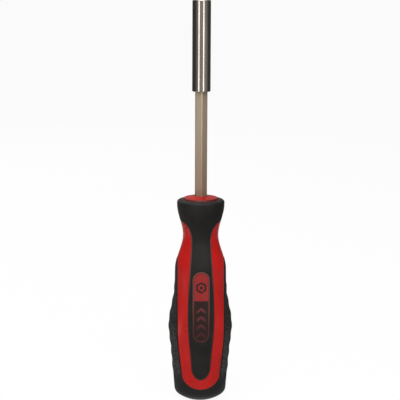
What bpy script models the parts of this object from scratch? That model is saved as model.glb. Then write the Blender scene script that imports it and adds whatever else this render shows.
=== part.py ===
"""A magnetic bit-holder screwdriver: hex shaft, bit sleeve and a two-colour moulded handle.

Metres, +Z up along the tool. The origin lies in the middle of the flat foot under the handle's butt.
The front of the handle, with its badge, looks along -Y.
"""
import math

import bmesh
import bpy
from mathutils import Matrix

# Hex stock of the shaft, which is also the size of the bits
HEX_ACROSS_FLATS = 0.00635
HEX_TURN = math.radians(5.0)

# Handle outline: height of each station above the foot, then half width and half depth there
FOOT_RADIUS = 0.0065
DOME_RADIUS = 0.022
DOME_FILLET = 0.004
SHOULDER_HALF_WIDTH = 0.0145
SHOULDER_HALF_DEPTH = 0.0137
FLANK_HEIGHT = 0.0290
FLANK_HALF_WIDTH = 0.0163
FLANK_HALF_DEPTH = 0.0146
BELLY_HEIGHT = 0.0424
BELLY_HALF_WIDTH = 0.0176
BELLY_HALF_DEPTH = 0.0150
NECK_HEIGHT = 0.0649
NECK_HALF_WIDTH = 0.0144
NECK_HALF_DEPTH = 0.0143
HIP_HEIGHT = 0.0754
HIP_HALF_WIDTH = 0.0142
HIP_HALF_DEPTH = 0.0140
WAIST_HEIGHT = 0.0941
WAIST_RADIUS = 0.0099
COLLAR_HEIGHT = 0.1114
COLLAR_RADIUS = 0.0131
COLLAR_TOP = 0.1141
COLLAR_ROUND = 0.0011

# Hard core of the handle and the soft mouldings over it
NOSE_RADIUS = 0.0098
NOSE_RISE = 0.0012
NOSE_CHAMFER = 0.0005
GRIP_WALL = 0.0020
BAND_RECESS = 0.0001
CORE_END = 0.0035
CORE_END_INSET = 0.0015
MOULD_GAP = 0.00006

# Front and back tongue of the collar moulding
ARCH_TOP = 0.1014
ARCH_RISE = 0.0094
ARCH_HALF_WIDTH = 0.0108
TONGUE_NECK_HALF = 0.0053
TONGUE_WIDE_HEIGHT = 0.0500
TONGUE_WIDE_HALF = 0.0073
TONGUE_TURN_HEIGHT = 0.0220
TONGUE_TURN_HALF = 0.0053
TONGUE_END = 0.0143

# Outer edge of the red band, where the lower grip begins, and the tips of that grip's sides
BAND_WIDE_HEIGHT = 0.0420
BAND_WIDE_HALF = 0.0130
BAND_TURN_HEIGHT = 0.0165
BAND_TURN_HALF = 0.0107
BAND_END = 0.0085
SIDE_GRIP_TOP = 0.0810

# Ribs on the sides of the lower grip
RIB_PITCH = 0.0076
RIB_HEIGHT = 0.0003
RIB_LOWEST = 0.0190
RIB_COUNT = 7

# Badge on the front tongue
BADGE_HEIGHT = 0.0561
BADGE_HALF_WIDTH = 0.0047
BADGE_LENGTH = 0.0398
BADGE_SEAT = 0.0009
BADGE_RIM = 0.0007
BADGE_RIM_STEP = 0.0002
PANEL_TOP = 0.0598
PANEL_THICKNESS = 0.0004

# Shaft
SHAFT_REACH = 0.0581
SHAFT_IN_HANDLE = 0.0800
EAR_SPAN = 0.0094
EAR_THICKNESS = 0.0030
EAR_LENGTH = 0.0100
EAR_RAISE = 0.0060
SHAFT_GAP = 0.00005

# Bit sleeve, with the magnet and the retaining ring in its socket
SLEEVE_LENGTH = 0.0490
SLEEVE_RADIUS = 0.0050
SLEEVE_CHAMFER = 0.0005
SOCKET_DEPTH = 0.0130
SOCKET_GAP = 0.00005
MOUTH_RADIUS = 0.0041
MAGNET_RADIUS = 0.0029
MAGNET_LENGTH = 0.0050
MAGNET_CHAMFER = 0.0002
MAGNET_GAP = 0.00005
RING_WIRE = 0.0007
RING_INNER_RADIUS = 0.00335
RING_BELOW_MOUTH = 0.0045
RING_MOUTH_ANGLE = math.radians(50.0)
RING_GAP = 0.0001

# Fineness of the curved forms
OVAL_SIDES = 36
RING_STEP = 0.0040
TURN_STEPS = 36
ARC_STEPS = 8
RIB_STEPS = 6

# Reach of a cutter past the body that it cuts
CUT_PAST = 0.0200

ARCH_FOOT = ARCH_TOP - ARCH_RISE
NOSE_TOP = COLLAR_TOP + NOSE_RISE
SLEEVE_FOOT = NOSE_TOP + SHAFT_REACH
TIP = SLEEVE_FOOT + SLEEVE_LENGTH
MAGNET_TOP = TIP - SOCKET_DEPTH
SHAFT_TOP = MAGNET_TOP - MAGNET_LENGTH - MAGNET_GAP
SHAFT_FOOT = NOSE_TOP - SHAFT_IN_HANDLE
HEX_CORNER = HEX_ACROSS_FLATS / math.sqrt(3.0)


def start_scene():
    """Empty the scene and return the collections for the pieces and for the cutters."""
    for thing in list(bpy.data.objects):
        bpy.data.objects.remove(thing)
    for mesh in list(bpy.data.meshes):
        bpy.data.meshes.remove(mesh)
    made = []
    for name in ("bit_holder_screwdriver", "cutters"):
        group = bpy.data.collections.new(name)
        bpy.context.scene.collection.children.link(group)
        made.append(group)
    return made


PIECES, CUTTERS = start_scene()


def material(name, colour, roughness, metallic):
    """A plain Principled material."""
    made = bpy.data.materials.new(name)
    made.use_nodes = True
    shader = made.node_tree.nodes["Principled BSDF"]
    shader.inputs["Base Color"].default_value = (*colour, 1.0)
    shader.inputs["Roughness"].default_value = roughness
    shader.inputs["Metallic"].default_value = metallic
    return made


def piece(mesh, finish):
    """One piece of the tool, named as its mesh is."""
    mesh.materials.append(finish)
    thing = bpy.data.objects.new(mesh.name, mesh)
    PIECES.objects.link(thing)
    return thing


def cutter(mesh):
    """A body that only cuts others, named as its mesh is."""
    thing = bpy.data.objects.new(mesh.name, mesh)
    CUTTERS.objects.link(thing)
    thing.hide_render = True
    thing.display_type = "WIRE"
    return thing


def combine(target, operation, other):
    """Add a Boolean of another body to a target."""
    step = target.modifiers.new(other.name, "BOOLEAN")
    step.operation = operation
    step.solver = "EXACT"
    step.object = other
    return target


def finished(shape, name, smooth):
    """Turn an edited shape into a mesh whose faces look outwards."""
    bmesh.ops.recalc_face_normals(shape, faces=shape.faces)
    for face in shape.faces:
        face.smooth = smooth
    mesh = bpy.data.meshes.new(name)
    shape.to_mesh(mesh)
    shape.free()
    mesh.set_sharp_from_angle(angle=math.radians(35.0))
    return mesh


def rod(name, foot, top, foot_radius, top_radius, sides, turn=0.0):
    """An upright rod or cone between two heights, with a corner to the front when it isn't turned."""
    shape = bmesh.new()
    place = Matrix.Translation((0.0, 0.0, (foot + top) / 2.0)) @ Matrix.Rotation(turn, 4, "Z")
    bmesh.ops.create_cone(
        shape,
        cap_ends=True,
        segments=sides,
        radius1=foot_radius,
        radius2=top_radius,
        depth=top - foot,
        matrix=place,
    )
    return finished(shape, name, sides > 6)


def block(name, low, high, turn=0.0):
    """A box between two corners, turned about the tool's axis."""
    shape = bmesh.new()
    bmesh.ops.create_cube(shape, size=1.0)
    size = [high[i] - low[i] for i in range(3)]
    middle = [(high[i] + low[i]) / 2.0 for i in range(3)]
    place = Matrix.Rotation(turn, 4, "Z") @ Matrix.Translation(middle) @ Matrix.Diagonal((*size, 1.0))
    bmesh.ops.transform(shape, matrix=place, verts=shape.verts)
    return finished(shape, name, False)


def turned(thing, steps):
    """Spin a half profile about the tool's axis."""
    spin = thing.modifiers.new("Turned", "SCREW")
    spin.axis = "Z"
    spin.angle = 2.0 * math.pi
    spin.screw_offset = 0.0
    spin.steps = steps
    spin.render_steps = steps
    spin.use_merge_vertices = True
    spin.merge_threshold = 0.00001
    return thing


def pin_profile(name, foot, top, radius, chamfer):
    """Half profile of a round pin with chamfered ends, from the top down."""
    points = [
        (0.0, top),
        (radius - chamfer, top),
        (radius, top - chamfer),
        (radius, foot + chamfer),
        (radius - chamfer, foot),
        (0.0, foot),
    ]
    mesh = bpy.data.meshes.new(name)
    mesh.from_pydata([(x, 0.0, z) for x, z in points], [(i, i + 1) for i in range(len(points) - 1)], [])
    return mesh


def loft(name, sections):
    """Closed body through oval sections (height, half width, half depth) from the lowest to the highest."""
    shape = bmesh.new()
    rings = []
    for height, half_width, half_depth in sections:
        ring = []
        for i in range(OVAL_SIDES):
            angle = 2.0 * math.pi * (i + 0.5) / OVAL_SIDES
            ring.append(shape.verts.new((half_width * math.cos(angle), half_depth * math.sin(angle), height)))
        rings.append(ring)
    for lower, upper in zip(rings, rings[1:]):
        for i in range(OVAL_SIDES):
            j = (i + 1) % OVAL_SIDES
            shape.faces.new((lower[i], lower[j], upper[j]))
            shape.faces.new((lower[i], upper[j], upper[i]))
    shape.faces.new(rings[0][::-1])
    shape.faces.new(rings[-1])
    return finished(shape, name, True)


def from_curve(curve, points, is_closed, place, smooth):
    """Closed body of a curve drawn through points, moved into place."""
    line = curve.splines.new("POLY")
    line.points.add(len(points) - 1)
    for point, (x, y) in zip(line.points, points):
        point.co = (x, y, 0.0, 1.0)
    line.use_cyclic_u = is_closed
    drawn = bpy.data.objects.new(curve.name, curve)
    mesh = bpy.data.meshes.new_from_object(drawn)
    bpy.data.objects.remove(drawn)
    shape = bmesh.new()
    shape.from_mesh(mesh)
    bpy.data.meshes.remove(mesh)
    bmesh.ops.remove_doubles(shape, verts=shape.verts, dist=0.000001)
    bmesh.ops.transform(shape, matrix=place, verts=shape.verts)
    return finished(shape, curve.name, smooth)


def prism(name, outline, back, front):
    """An outline in (x, z) pulled along the depth of the handle, from its back face to its front face."""
    curve = bpy.data.curves.new(name, "CURVE")
    curve.dimensions = "2D"
    curve.fill_mode = "BOTH"
    curve.extrude = (back - front) / 2.0
    upright = Matrix.Translation((0.0, (back + front) / 2.0, 0.0)) @ Matrix.Rotation(math.pi / 2.0, 4, "X")
    return from_curve(curve, outline, True, upright, False)


def open_ring(name, wire, radius, height, mouth, steps):
    """A round wire bent to a level ring, open at +X over the mouth angle."""
    curve = bpy.data.curves.new(name, "CURVE")
    curve.dimensions = "3D"
    curve.bevel_depth = wire / 2.0
    curve.bevel_resolution = 1
    curve.use_fill_caps = True
    angles = [mouth / 2.0 + (2.0 * math.pi - mouth) * i / steps for i in range(steps + 1)]
    points = [(radius * math.cos(angle), radius * math.sin(angle)) for angle in angles]
    return from_curve(curve, points, False, Matrix.Translation((0.0, 0.0, height)), True)


def smooth_at(stations, height):
    """Value at a height on a curve through (height, value) stations that never overshoots them."""
    grades = [(b[1] - a[1]) / (b[0] - a[0]) for a, b in zip(stations, stations[1:])]
    slopes = [0.0 if a * b <= 0.0 else 2.0 * a * b / (a + b) for a, b in zip(grades, grades[1:])]
    slopes = [grades[0], *slopes, grades[-1]]
    if height <= stations[0][0]:
        return stations[0][1]
    for i, (low, high) in enumerate(zip(stations, stations[1:])):
        if height <= high[0]:
            span = high[0] - low[0]
            t = (height - low[0]) / span
            ease = t * t * (3.0 - 2.0 * t)
            bend = slopes[i] * t * (1.0 - t) ** 2 - slopes[i + 1] * t * t * (1.0 - t)
            return low[1] + (high[1] - low[1]) * ease + span * bend
    return stations[-1][1]


def spread(low, high, step):
    """Even heights from low to high, no further apart than the step."""
    count = max(2, math.ceil((high - low) / step))
    return [low + (high - low) * i / count for i in range(count + 1)]


def dome_arcs():
    """Half profile of the domed butt: a shallow ball over a flat foot, its edge rounded into the side."""
    rise = math.sqrt(DOME_RADIUS ** 2 - FOOT_RADIUS ** 2)
    middle = SHOULDER_HALF_WIDTH - DOME_FILLET
    centre = rise - math.sqrt((DOME_RADIUS - DOME_FILLET) ** 2 - middle ** 2)
    start = math.asin(FOOT_RADIUS / DOME_RADIUS)
    bend = math.asin(middle / (DOME_RADIUS - DOME_FILLET))
    points = []
    for i in range(4):
        angle = start + (bend - start) * i / 4
        points.append((rise - DOME_RADIUS * math.cos(angle), DOME_RADIUS * math.sin(angle)))
    for i in range(5):
        angle = bend + (math.pi / 2.0 - bend) * i / 4
        points.append((centre - DOME_FILLET * math.cos(angle), middle + DOME_FILLET * math.sin(angle)))
    return points


DOME = dome_arcs()
SHOULDER_HEIGHT = DOME[-1][0]
WIDTHS = [
    (SHOULDER_HEIGHT, SHOULDER_HALF_WIDTH),
    (FLANK_HEIGHT, FLANK_HALF_WIDTH),
    (BELLY_HEIGHT, BELLY_HALF_WIDTH),
    (NECK_HEIGHT, NECK_HALF_WIDTH),
    (HIP_HEIGHT, HIP_HALF_WIDTH),
    (WAIST_HEIGHT, WAIST_RADIUS),
    (COLLAR_HEIGHT, COLLAR_RADIUS),
    (COLLAR_TOP, COLLAR_RADIUS),
]
DEPTHS = [
    (SHOULDER_HEIGHT, SHOULDER_HALF_DEPTH),
    (FLANK_HEIGHT, FLANK_HALF_DEPTH),
    (BELLY_HEIGHT, BELLY_HALF_DEPTH),
    (NECK_HEIGHT, NECK_HALF_DEPTH),
    (HIP_HEIGHT, HIP_HALF_DEPTH),
    (WAIST_HEIGHT, WAIST_RADIUS),
    (COLLAR_HEIGHT, COLLAR_RADIUS),
    (COLLAR_TOP, COLLAR_RADIUS),
]


def rib_at(height):
    """Rise of the ribs on the sides of the lower grip at a height."""
    along = (height - RIB_LOWEST) / RIB_PITCH + 0.5
    if along <= 0.0 or along >= RIB_COUNT:
        return 0.0
    return RIB_HEIGHT * (0.5 - 0.5 * math.cos(2.0 * math.pi * along))


def skin(inset, heights, ribs=False):
    """Sections of the handle's outside, moved inwards by an inset."""
    sections = []
    for height in heights:
        rise = rib_at(height) if ribs else 0.0
        sections.append((height, smooth_at(WIDTHS, height) - inset + rise, smooth_at(DEPTHS, height) - inset))
    return sections


def dome_sections(inset):
    """Sections of the domed butt from the foot up to the shoulder, moved inwards by an inset."""
    flatness = SHOULDER_HALF_DEPTH / SHOULDER_HALF_WIDTH
    return [(z, r - inset, r * flatness - inset) for z, r in DOME[:-1]]


def handle_sections(inset=0.0):
    """Sections of the whole handle from its foot to the top of the collar, moved inwards by an inset."""
    sections = dome_sections(inset)
    sections += skin(inset, spread(SHOULDER_HEIGHT, COLLAR_TOP - COLLAR_ROUND, RING_STEP))
    for i in range(1, 4):
        angle = math.pi / 6.0 * i
        radius = COLLAR_RADIUS - inset - COLLAR_ROUND * (1.0 - math.cos(angle))
        sections.append((COLLAR_TOP - COLLAR_ROUND * (1.0 - math.sin(angle)), radius, radius))
    return sections


def core_sections(gap, top):
    """Sections of the core under the soft mouldings, grown by a gap, up to the nose at the given top."""
    inset = GRIP_WALL - gap
    floor = CORE_END - gap
    lowest = SHOULDER_HEIGHT + CORE_END_INSET
    under = GRIP_WALL + CORE_END_INSET - gap
    sections = [(floor, SHOULDER_HALF_WIDTH - under, SHOULDER_HALF_DEPTH - under)]
    sections += skin(inset, spread(lowest, WAIST_HEIGHT, RING_STEP))
    for i in range(1, 4):
        t = i / 3.0
        radius = WAIST_RADIUS - inset + (NOSE_RADIUS + GRIP_WALL - WAIST_RADIUS) * t * t * (3.0 - 2.0 * t)
        sections.append((WAIST_HEIGHT + (COLLAR_HEIGHT - WAIST_HEIGHT) * t, radius, radius))
    sections.append((top, NOSE_RADIUS + gap, NOSE_RADIUS + gap))
    return sections


def closed(half):
    """Close a half outline at +x with its mirror image."""
    return half + [(-x, z) for x, z in reversed(half) if x > 0.000001]


def lower_bow(half_width, height, end):
    """Quarter of an oval that closes a half outline at its lower end."""
    points = []
    for i in range(1, ARC_STEPS + 1):
        angle = math.pi / 2.0 * i / ARC_STEPS
        points.append((half_width * math.cos(angle), height - (height - end) * math.sin(angle)))
    return points


def tongue_half(gap):
    """Right-hand edge of the tongue from the top of its arch down to its end, grown by a gap."""
    stations = [
        (TONGUE_TURN_HEIGHT, TONGUE_TURN_HALF),
        (TONGUE_WIDE_HEIGHT, TONGUE_WIDE_HALF),
        (ARCH_FOOT, TONGUE_NECK_HALF),
    ]
    half = []
    for i in range(ARC_STEPS):
        angle = math.pi / 2.0 * i / ARC_STEPS
        x = ARCH_HALF_WIDTH - (ARCH_HALF_WIDTH - TONGUE_NECK_HALF - gap) * math.sin(angle)
        half.append((x, ARCH_FOOT + (ARCH_TOP - gap - ARCH_FOOT) * math.cos(angle)))
    for height in reversed(spread(TONGUE_TURN_HEIGHT, ARCH_FOOT, 2.0 * RING_STEP)):
        half.append((smooth_at(stations, height) + gap, height))
    return half + lower_bow(TONGUE_TURN_HALF + gap, TONGUE_TURN_HEIGHT, TONGUE_END - gap)


def tongue_outline():
    """The collar with its tongue, seen from the front."""
    side = COLLAR_RADIUS + CUT_PAST
    return closed([(side, COLLAR_TOP + CUT_PAST), (side, ARCH_TOP), *tongue_half(0.0)])


def band_half(gap):
    """Right-hand outer edge of the red band from the top down, grown by a gap."""
    stations = [
        (BAND_TURN_HEIGHT, BAND_TURN_HALF),
        (BAND_WIDE_HEIGHT, BAND_WIDE_HALF),
        (ARCH_TOP, BAND_WIDE_HALF),
    ]
    half = []
    for height in reversed(spread(BAND_TURN_HEIGHT, BAND_WIDE_HEIGHT, 2.0 * RING_STEP)):
        half.append((smooth_at(stations, height) + gap, height))
    return half + lower_bow(BAND_TURN_HALF + gap, BAND_TURN_HEIGHT, BAND_END - gap)


def band_outline(gap):
    """The red band and all that lies inside its outer edge, seen from the front, grown by a gap."""
    return closed([(BAND_WIDE_HALF + gap, ARCH_TOP + CUT_PAST), *band_half(gap)])


def red_outline():
    """The red band alone, seen from the front, with a gap to the tongue inside it."""
    inner = closed([(BAND_WIDE_HALF, ARCH_TOP - MOULD_GAP), *tongue_half(MOULD_GAP)])
    outer = closed(band_half(0.0))
    return inner + outer[::-1]


def badge_outline(inset, top=None):
    """The capsule of the badge, moved inwards by an inset, or only its part below a straight top."""
    half_width = BADGE_HALF_WIDTH - inset
    straight = BADGE_LENGTH / 2.0 - BADGE_HALF_WIDTH
    low = BADGE_HEIGHT - straight
    half = [(half_width, low)] + lower_bow(half_width, low, low - half_width)
    if top is not None:
        return closed([(half_width, top), *half])
    crown = [(x, 2.0 * BADGE_HEIGHT - z) for x, z in reversed(half)]
    return closed(crown + half)


RED = material("red_hard_plastic", (0.47, 0.020, 0.016), 0.38, 0.0)
SOFT_BLACK = material("black_soft_grip", (0.022, 0.022, 0.022), 0.55, 0.0)
GRAINED_BLACK = material("black_grained_grip", (0.034, 0.034, 0.035), 0.75, 0.0)
BADGE_RED = material("badge_red", (0.29, 0.045, 0.038), 0.40, 0.0)
BADGE_DARK = material("badge_dark", (0.040, 0.022, 0.020), 0.40, 0.0)
SATIN_STEEL = material("satin_nickel_steel", (0.48, 0.43, 0.37), 0.32, 1.0)
POLISHED_STEEL = material("polished_steel", (0.62, 0.60, 0.57), 0.10, 1.0)
MAGNET_PLATE = material("nickel_plated_magnet", (0.55, 0.53, 0.50), 0.25, 1.0)
SPRING_STEEL = material("spring_steel", (0.30, 0.30, 0.31), 0.35, 1.0)

# Zones of the handle, seen from the front and pulled right through it
WAY_BACK = BELLY_HALF_DEPTH + CUT_PAST
tongue_zone = cutter(prism("tongue_zone", tongue_outline(), WAY_BACK, -WAY_BACK))
red_zone = cutter(prism("red_zone", red_outline(), WAY_BACK, -WAY_BACK))
band_pocket = cutter(prism("band_pocket", band_outline(MOULD_GAP), WAY_BACK, -WAY_BACK))
core_space = cutter(loft("core_space", core_sections(MOULD_GAP, NOSE_TOP + CUT_PAST)))

# Shaft: hex bar with two ears pressed out of it, which lock it in the core
shaft = piece(rod("shaft", SHAFT_FOOT, SHAFT_TOP, HEX_CORNER, HEX_CORNER, 6, HEX_TURN), SATIN_STEEL)
ear_foot = SHAFT_FOOT + EAR_RAISE
ears = block(
    "shaft_ears",
    (-EAR_SPAN / 2.0, -EAR_THICKNESS / 2.0, ear_foot),
    (EAR_SPAN / 2.0, EAR_THICKNESS / 2.0, ear_foot + EAR_LENGTH),
    HEX_TURN,
)
combine(shaft, "UNION", cutter(ears))

# Core: the body under the soft mouldings, with the red band standing up between them
core_body = core_sections(0.0, NOSE_TOP - NOSE_CHAMFER)
core_body.append((NOSE_TOP, NOSE_RADIUS - NOSE_CHAMFER, NOSE_RADIUS - NOSE_CHAMFER))
handle_core = piece(loft("handle_core", core_body), RED)
red_band = cutter(loft("red_band", handle_sections(BAND_RECESS)))
combine(red_band, "INTERSECT", red_zone)
combine(handle_core, "UNION", red_band)
bore_corner = HEX_CORNER + SHAFT_GAP * 2.0 / math.sqrt(3.0)
shaft_bore = rod(
    "shaft_bore", SHAFT_FOOT - SHAFT_GAP, NOSE_TOP + CUT_PAST, bore_corner, bore_corner, 6, HEX_TURN
)
combine(handle_core, "DIFFERENCE", cutter(shaft_bore))
ear_pocket = block(
    "ear_pocket",
    (-EAR_SPAN / 2.0 - SHAFT_GAP, -EAR_THICKNESS / 2.0 - SHAFT_GAP, ear_foot - SHAFT_GAP),
    (EAR_SPAN / 2.0 + SHAFT_GAP, EAR_THICKNESS / 2.0 + SHAFT_GAP, ear_foot + EAR_LENGTH + SHAFT_GAP),
    HEX_TURN,
)
combine(handle_core, "DIFFERENCE", cutter(ear_pocket))

# Collar with its front and back tongue
collar_grip = piece(loft("collar_grip", handle_sections()), SOFT_BLACK)
combine(collar_grip, "INTERSECT", tongue_zone)
combine(collar_grip, "DIFFERENCE", core_space)

# Lower grip: the ribbed sides and the domed butt in one moulding
rib_heights = spread(SHOULDER_HEIGHT, SIDE_GRIP_TOP, RIB_PITCH / RIB_STEPS)
ribbed_body = dome_sections(0.0) + skin(0.0, rib_heights, ribs=True)
lower_grip = piece(loft("lower_grip", ribbed_body), GRAINED_BLACK)
combine(lower_grip, "DIFFERENCE", band_pocket)
combine(lower_grip, "DIFFERENCE", core_space)

# Badge: a rimmed plate let into the front tongue, with a dark panel let into the plate
badge_seat = cutter(prism("badge_seat", badge_outline(-MOULD_GAP), 0.0, -WAY_BACK))
combine(badge_seat, "DIFFERENCE", cutter(loft("seat_floor", handle_sections(BADGE_SEAT))))
combine(collar_grip, "DIFFERENCE", badge_seat)
plate_base = cutter(loft("plate_base", handle_sections(BADGE_SEAT - MOULD_GAP)))
badge_plate = piece(loft("badge_plate", handle_sections()), BADGE_RED)
combine(badge_plate, "INTERSECT", cutter(prism("plate_edge", badge_outline(0.0), 0.0, -WAY_BACK)))
combine(badge_plate, "DIFFERENCE", plate_base)
field = cutter(prism("badge_field", badge_outline(BADGE_RIM), 0.0, -WAY_BACK))
combine(field, "DIFFERENCE", cutter(loft("field_floor", handle_sections(BADGE_RIM_STEP))))
combine(badge_plate, "DIFFERENCE", field)
panel_floor = BADGE_RIM_STEP + PANEL_THICKNESS
panel_space = cutter(prism("panel_space", badge_outline(BADGE_RIM, PANEL_TOP), 0.0, -WAY_BACK))
combine(panel_space, "DIFFERENCE", cutter(loft("panel_floor", handle_sections(panel_floor))))
combine(badge_plate, "DIFFERENCE", panel_space)
badge_panel = piece(loft("badge_panel", handle_sections(BADGE_RIM_STEP)), BADGE_DARK)
panel_line = badge_outline(BADGE_RIM + MOULD_GAP, PANEL_TOP - MOULD_GAP)
combine(badge_panel, "INTERSECT", cutter(prism("panel_edge", panel_line, 0.0, -WAY_BACK)))
panel_base = cutter(loft("panel_base", handle_sections(panel_floor - MOULD_GAP)))
combine(badge_panel, "DIFFERENCE", panel_base)

# Bit sleeve: hex hole right through, opened at the mouth, with a groove for the retaining ring
sleeve_profile = pin_profile("bit_sleeve", SLEEVE_FOOT, TIP, SLEEVE_RADIUS, SLEEVE_CHAMFER)
bit_sleeve = turned(piece(sleeve_profile, POLISHED_STEEL), TURN_STEPS)
hole_corner = HEX_CORNER + SOCKET_GAP * 2.0 / math.sqrt(3.0)
hex_hole = rod("hex_hole", SLEEVE_FOOT - CUT_PAST, TIP + CUT_PAST, hole_corner, hole_corner, 6, HEX_TURN)
combine(bit_sleeve, "DIFFERENCE", cutter(hex_hole))
mouth_cone = rod("mouth_cone", TIP - MOUTH_RADIUS, TIP + MOUTH_RADIUS, 0.0, 2.0 * MOUTH_RADIUS, TURN_STEPS)
combine(bit_sleeve, "DIFFERENCE", cutter(mouth_cone))
ring_height = TIP - RING_BELOW_MOUTH
ring_radius = RING_INNER_RADIUS + RING_WIRE / 2.0
groove_half = RING_WIRE / 2.0 + RING_GAP
groove_radius = ring_radius + groove_half
groove_foot = ring_height - groove_half
groove_top = ring_height + groove_half
ring_groove = rod("ring_groove", groove_foot, groove_top, groove_radius, groove_radius, TURN_STEPS)
combine(bit_sleeve, "DIFFERENCE", cutter(ring_groove))

# Magnet on the end of the shaft, with room for it in the sleeve
magnet_foot = MAGNET_TOP - MAGNET_LENGTH
room_foot = magnet_foot - MAGNET_GAP
room_top = MAGNET_TOP + MAGNET_GAP
room_radius = MAGNET_RADIUS + MAGNET_GAP
magnet_room = rod("magnet_room", room_foot, room_top, room_radius, room_radius, TURN_STEPS)
combine(bit_sleeve, "DIFFERENCE", cutter(magnet_room))
magnet_profile = pin_profile("bit_magnet", magnet_foot, MAGNET_TOP, MAGNET_RADIUS, MAGNET_CHAMFER)
bit_magnet = turned(piece(magnet_profile, MAGNET_PLATE), TURN_STEPS)

# Retaining ring in its groove
wire_ring = open_ring("retaining_ring", RING_WIRE, ring_radius, ring_height, RING_MOUTH_ANGLE, TURN_STEPS)
retaining_ring = piece(wire_ring, SPRING_STEEL)
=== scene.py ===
"""The bit-holder screwdriver dressed for the camera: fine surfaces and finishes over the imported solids."""

import math

import bmesh
import bpy
import numpy as np
from mathutils import Matrix


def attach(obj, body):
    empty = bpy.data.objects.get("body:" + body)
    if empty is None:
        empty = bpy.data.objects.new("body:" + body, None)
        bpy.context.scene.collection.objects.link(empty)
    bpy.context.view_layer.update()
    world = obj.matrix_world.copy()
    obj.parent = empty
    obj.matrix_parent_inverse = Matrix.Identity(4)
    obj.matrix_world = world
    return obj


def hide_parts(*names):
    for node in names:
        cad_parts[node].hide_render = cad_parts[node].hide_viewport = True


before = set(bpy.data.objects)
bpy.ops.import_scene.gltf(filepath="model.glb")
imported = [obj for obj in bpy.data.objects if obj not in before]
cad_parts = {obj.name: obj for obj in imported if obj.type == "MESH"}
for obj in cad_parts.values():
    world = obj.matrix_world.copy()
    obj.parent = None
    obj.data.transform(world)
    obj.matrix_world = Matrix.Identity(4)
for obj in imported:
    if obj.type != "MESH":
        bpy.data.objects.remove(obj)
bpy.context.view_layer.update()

# Sizes in metres, as the solids have them but for the top of the arch
HEX_APOTHEM = 0.00635 / 2.0
HEX_TURN = math.radians(5.0)
FOOT_RADIUS = 0.0065
DOME_RADIUS = 0.022
DOME_FILLET = 0.004
SHOULDER_HALF_WIDTH = 0.0145
SHOULDER_HALF_DEPTH = 0.0137
WAIST_HEIGHT = 0.0941
WAIST_RADIUS = 0.0099
COLLAR_HEIGHT = 0.1114
COLLAR_RADIUS = 0.0131
COLLAR_TOP = 0.1141
NOSE_RADIUS = 0.0098
NOSE_TOP = 0.1153
GRIP_WALL = 0.0020
CORE_END = 0.0035
ARCH_TOP = 0.1022
ARCH_FOOT = 0.0920
TONGUE_TURN = (0.0220, 0.0053)
TONGUE_END = 0.0143
TONGUE_STATIONS = (TONGUE_TURN, (0.0500, 0.0073), (ARCH_FOOT, 0.0053))
BAND_TURN = (0.0165, 0.0107)
BAND_END = 0.0085
BAND_STATIONS = (BAND_TURN, (0.0420, 0.0130), (ARCH_TOP, 0.0130))
BAND_RECESS = 0.0001
RIB_PITCH = 0.0076
RIB_HEIGHT = 0.0003
RIB_LOWEST = 0.0190
RIB_COUNT = 7
BADGE_HEIGHT = 0.0561
BADGE_HALF_WIDTH = 0.0047
BADGE_STRAIGHT = 0.0398 / 2.0 - BADGE_HALF_WIDTH
BADGE_RIM = 0.0007
PANEL_TOP = 0.0598
SHAFT_FOOT = 0.0353
SHAFT_TOP = 0.20435
EAR_FOOT = 0.0413
EAR_TOP = 0.0513
EAR_HALF_SPAN = 0.0047
EAR_HALF_THICKNESS = 0.0015
SLEEVE_FOOT = 0.1734
SLEEVE_RADIUS = 0.0050
TIP = 0.2224
MOUTH_RADIUS = 0.0041
MAGNET_RADIUS = 0.0029
MAGNET_FOOT = 0.2044
MAGNET_TOP = 0.2094
RING_HEIGHT = 0.2179
RING_RADIUS = 0.0037
RING_WIRE = 0.0007
RING_MOUTH = math.radians(50.0)

# Sizes of the fine surfaces alone: the shaft's corners, how the ribs fade out, the badge's relief and seat
HEX_CORNER = 0.0004
RIB_FADE = (0.0003, 0.0025)
BADGE_RISE = 0.00016
BADGE_FIELD = 0.00003
BADGE_DEPTH = 0.0007
BADGE_SEAT = 0.0006
PANEL_PLAY = 0.00012
PANEL_RISE = 0.00003

# Rounding of the mouldings' edges, the depth of their walls, and the play between pieces
GRIP_ROLL = 0.00035
BAND_ROLL = 0.00028
MOULD_DEPTH = 0.0018
PLAY = 0.00005

# Heights above which the rows of the lower grip's sides, and the points of its edge, close up towards the tip
SIDE_CLOSING = 0.0760
EDGE_CLOSING = 0.0700

# Distance at which no edge counts as near, distance at which points are one, the width of a row that has
# none, and the bend at which an edge is shaded sharp
FAR = 0.01
SAME_POINT = 0.0000005
NO_WIDTH = 1e-7
SHARP_ANGLE = math.radians(38.0)

# Domed butt: a shallow ball over the flat foot, its edge rounded into the side
DOME_RISE = math.sqrt(DOME_RADIUS**2 - FOOT_RADIUS**2)
FILLET_MIDDLE = SHOULDER_HALF_WIDTH - DOME_FILLET
SHOULDER_HEIGHT = DOME_RISE - math.sqrt((DOME_RADIUS - DOME_FILLET) ** 2 - FILLET_MIDDLE**2)
FLATNESS = SHOULDER_HALF_DEPTH / SHOULDER_HALF_WIDTH

# Height, half width and half depth of the handle at its stations
OUTLINE = (
    (SHOULDER_HEIGHT, SHOULDER_HALF_WIDTH, SHOULDER_HALF_DEPTH),
    (0.0290, 0.0163, 0.0146),
    (0.0424, 0.0176, 0.0150),
    (0.0649, 0.0144, 0.0143),
    (0.0754, 0.0142, 0.0140),
    (WAIST_HEIGHT, WAIST_RADIUS, WAIST_RADIUS),
    (COLLAR_HEIGHT, COLLAR_RADIUS, COLLAR_RADIUS),
    (COLLAR_TOP, COLLAR_RADIUS, COLLAR_RADIUS),
)
WIDTHS = [(height, width) for height, width, depth in OUTLINE]
DEPTHS = [(height, depth) for height, width, depth in OUTLINE]


def quarter_turn(count):
    """Even steps from nothing to a quarter turn."""
    return np.radians(np.linspace(0.0, 90.0, count))


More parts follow.
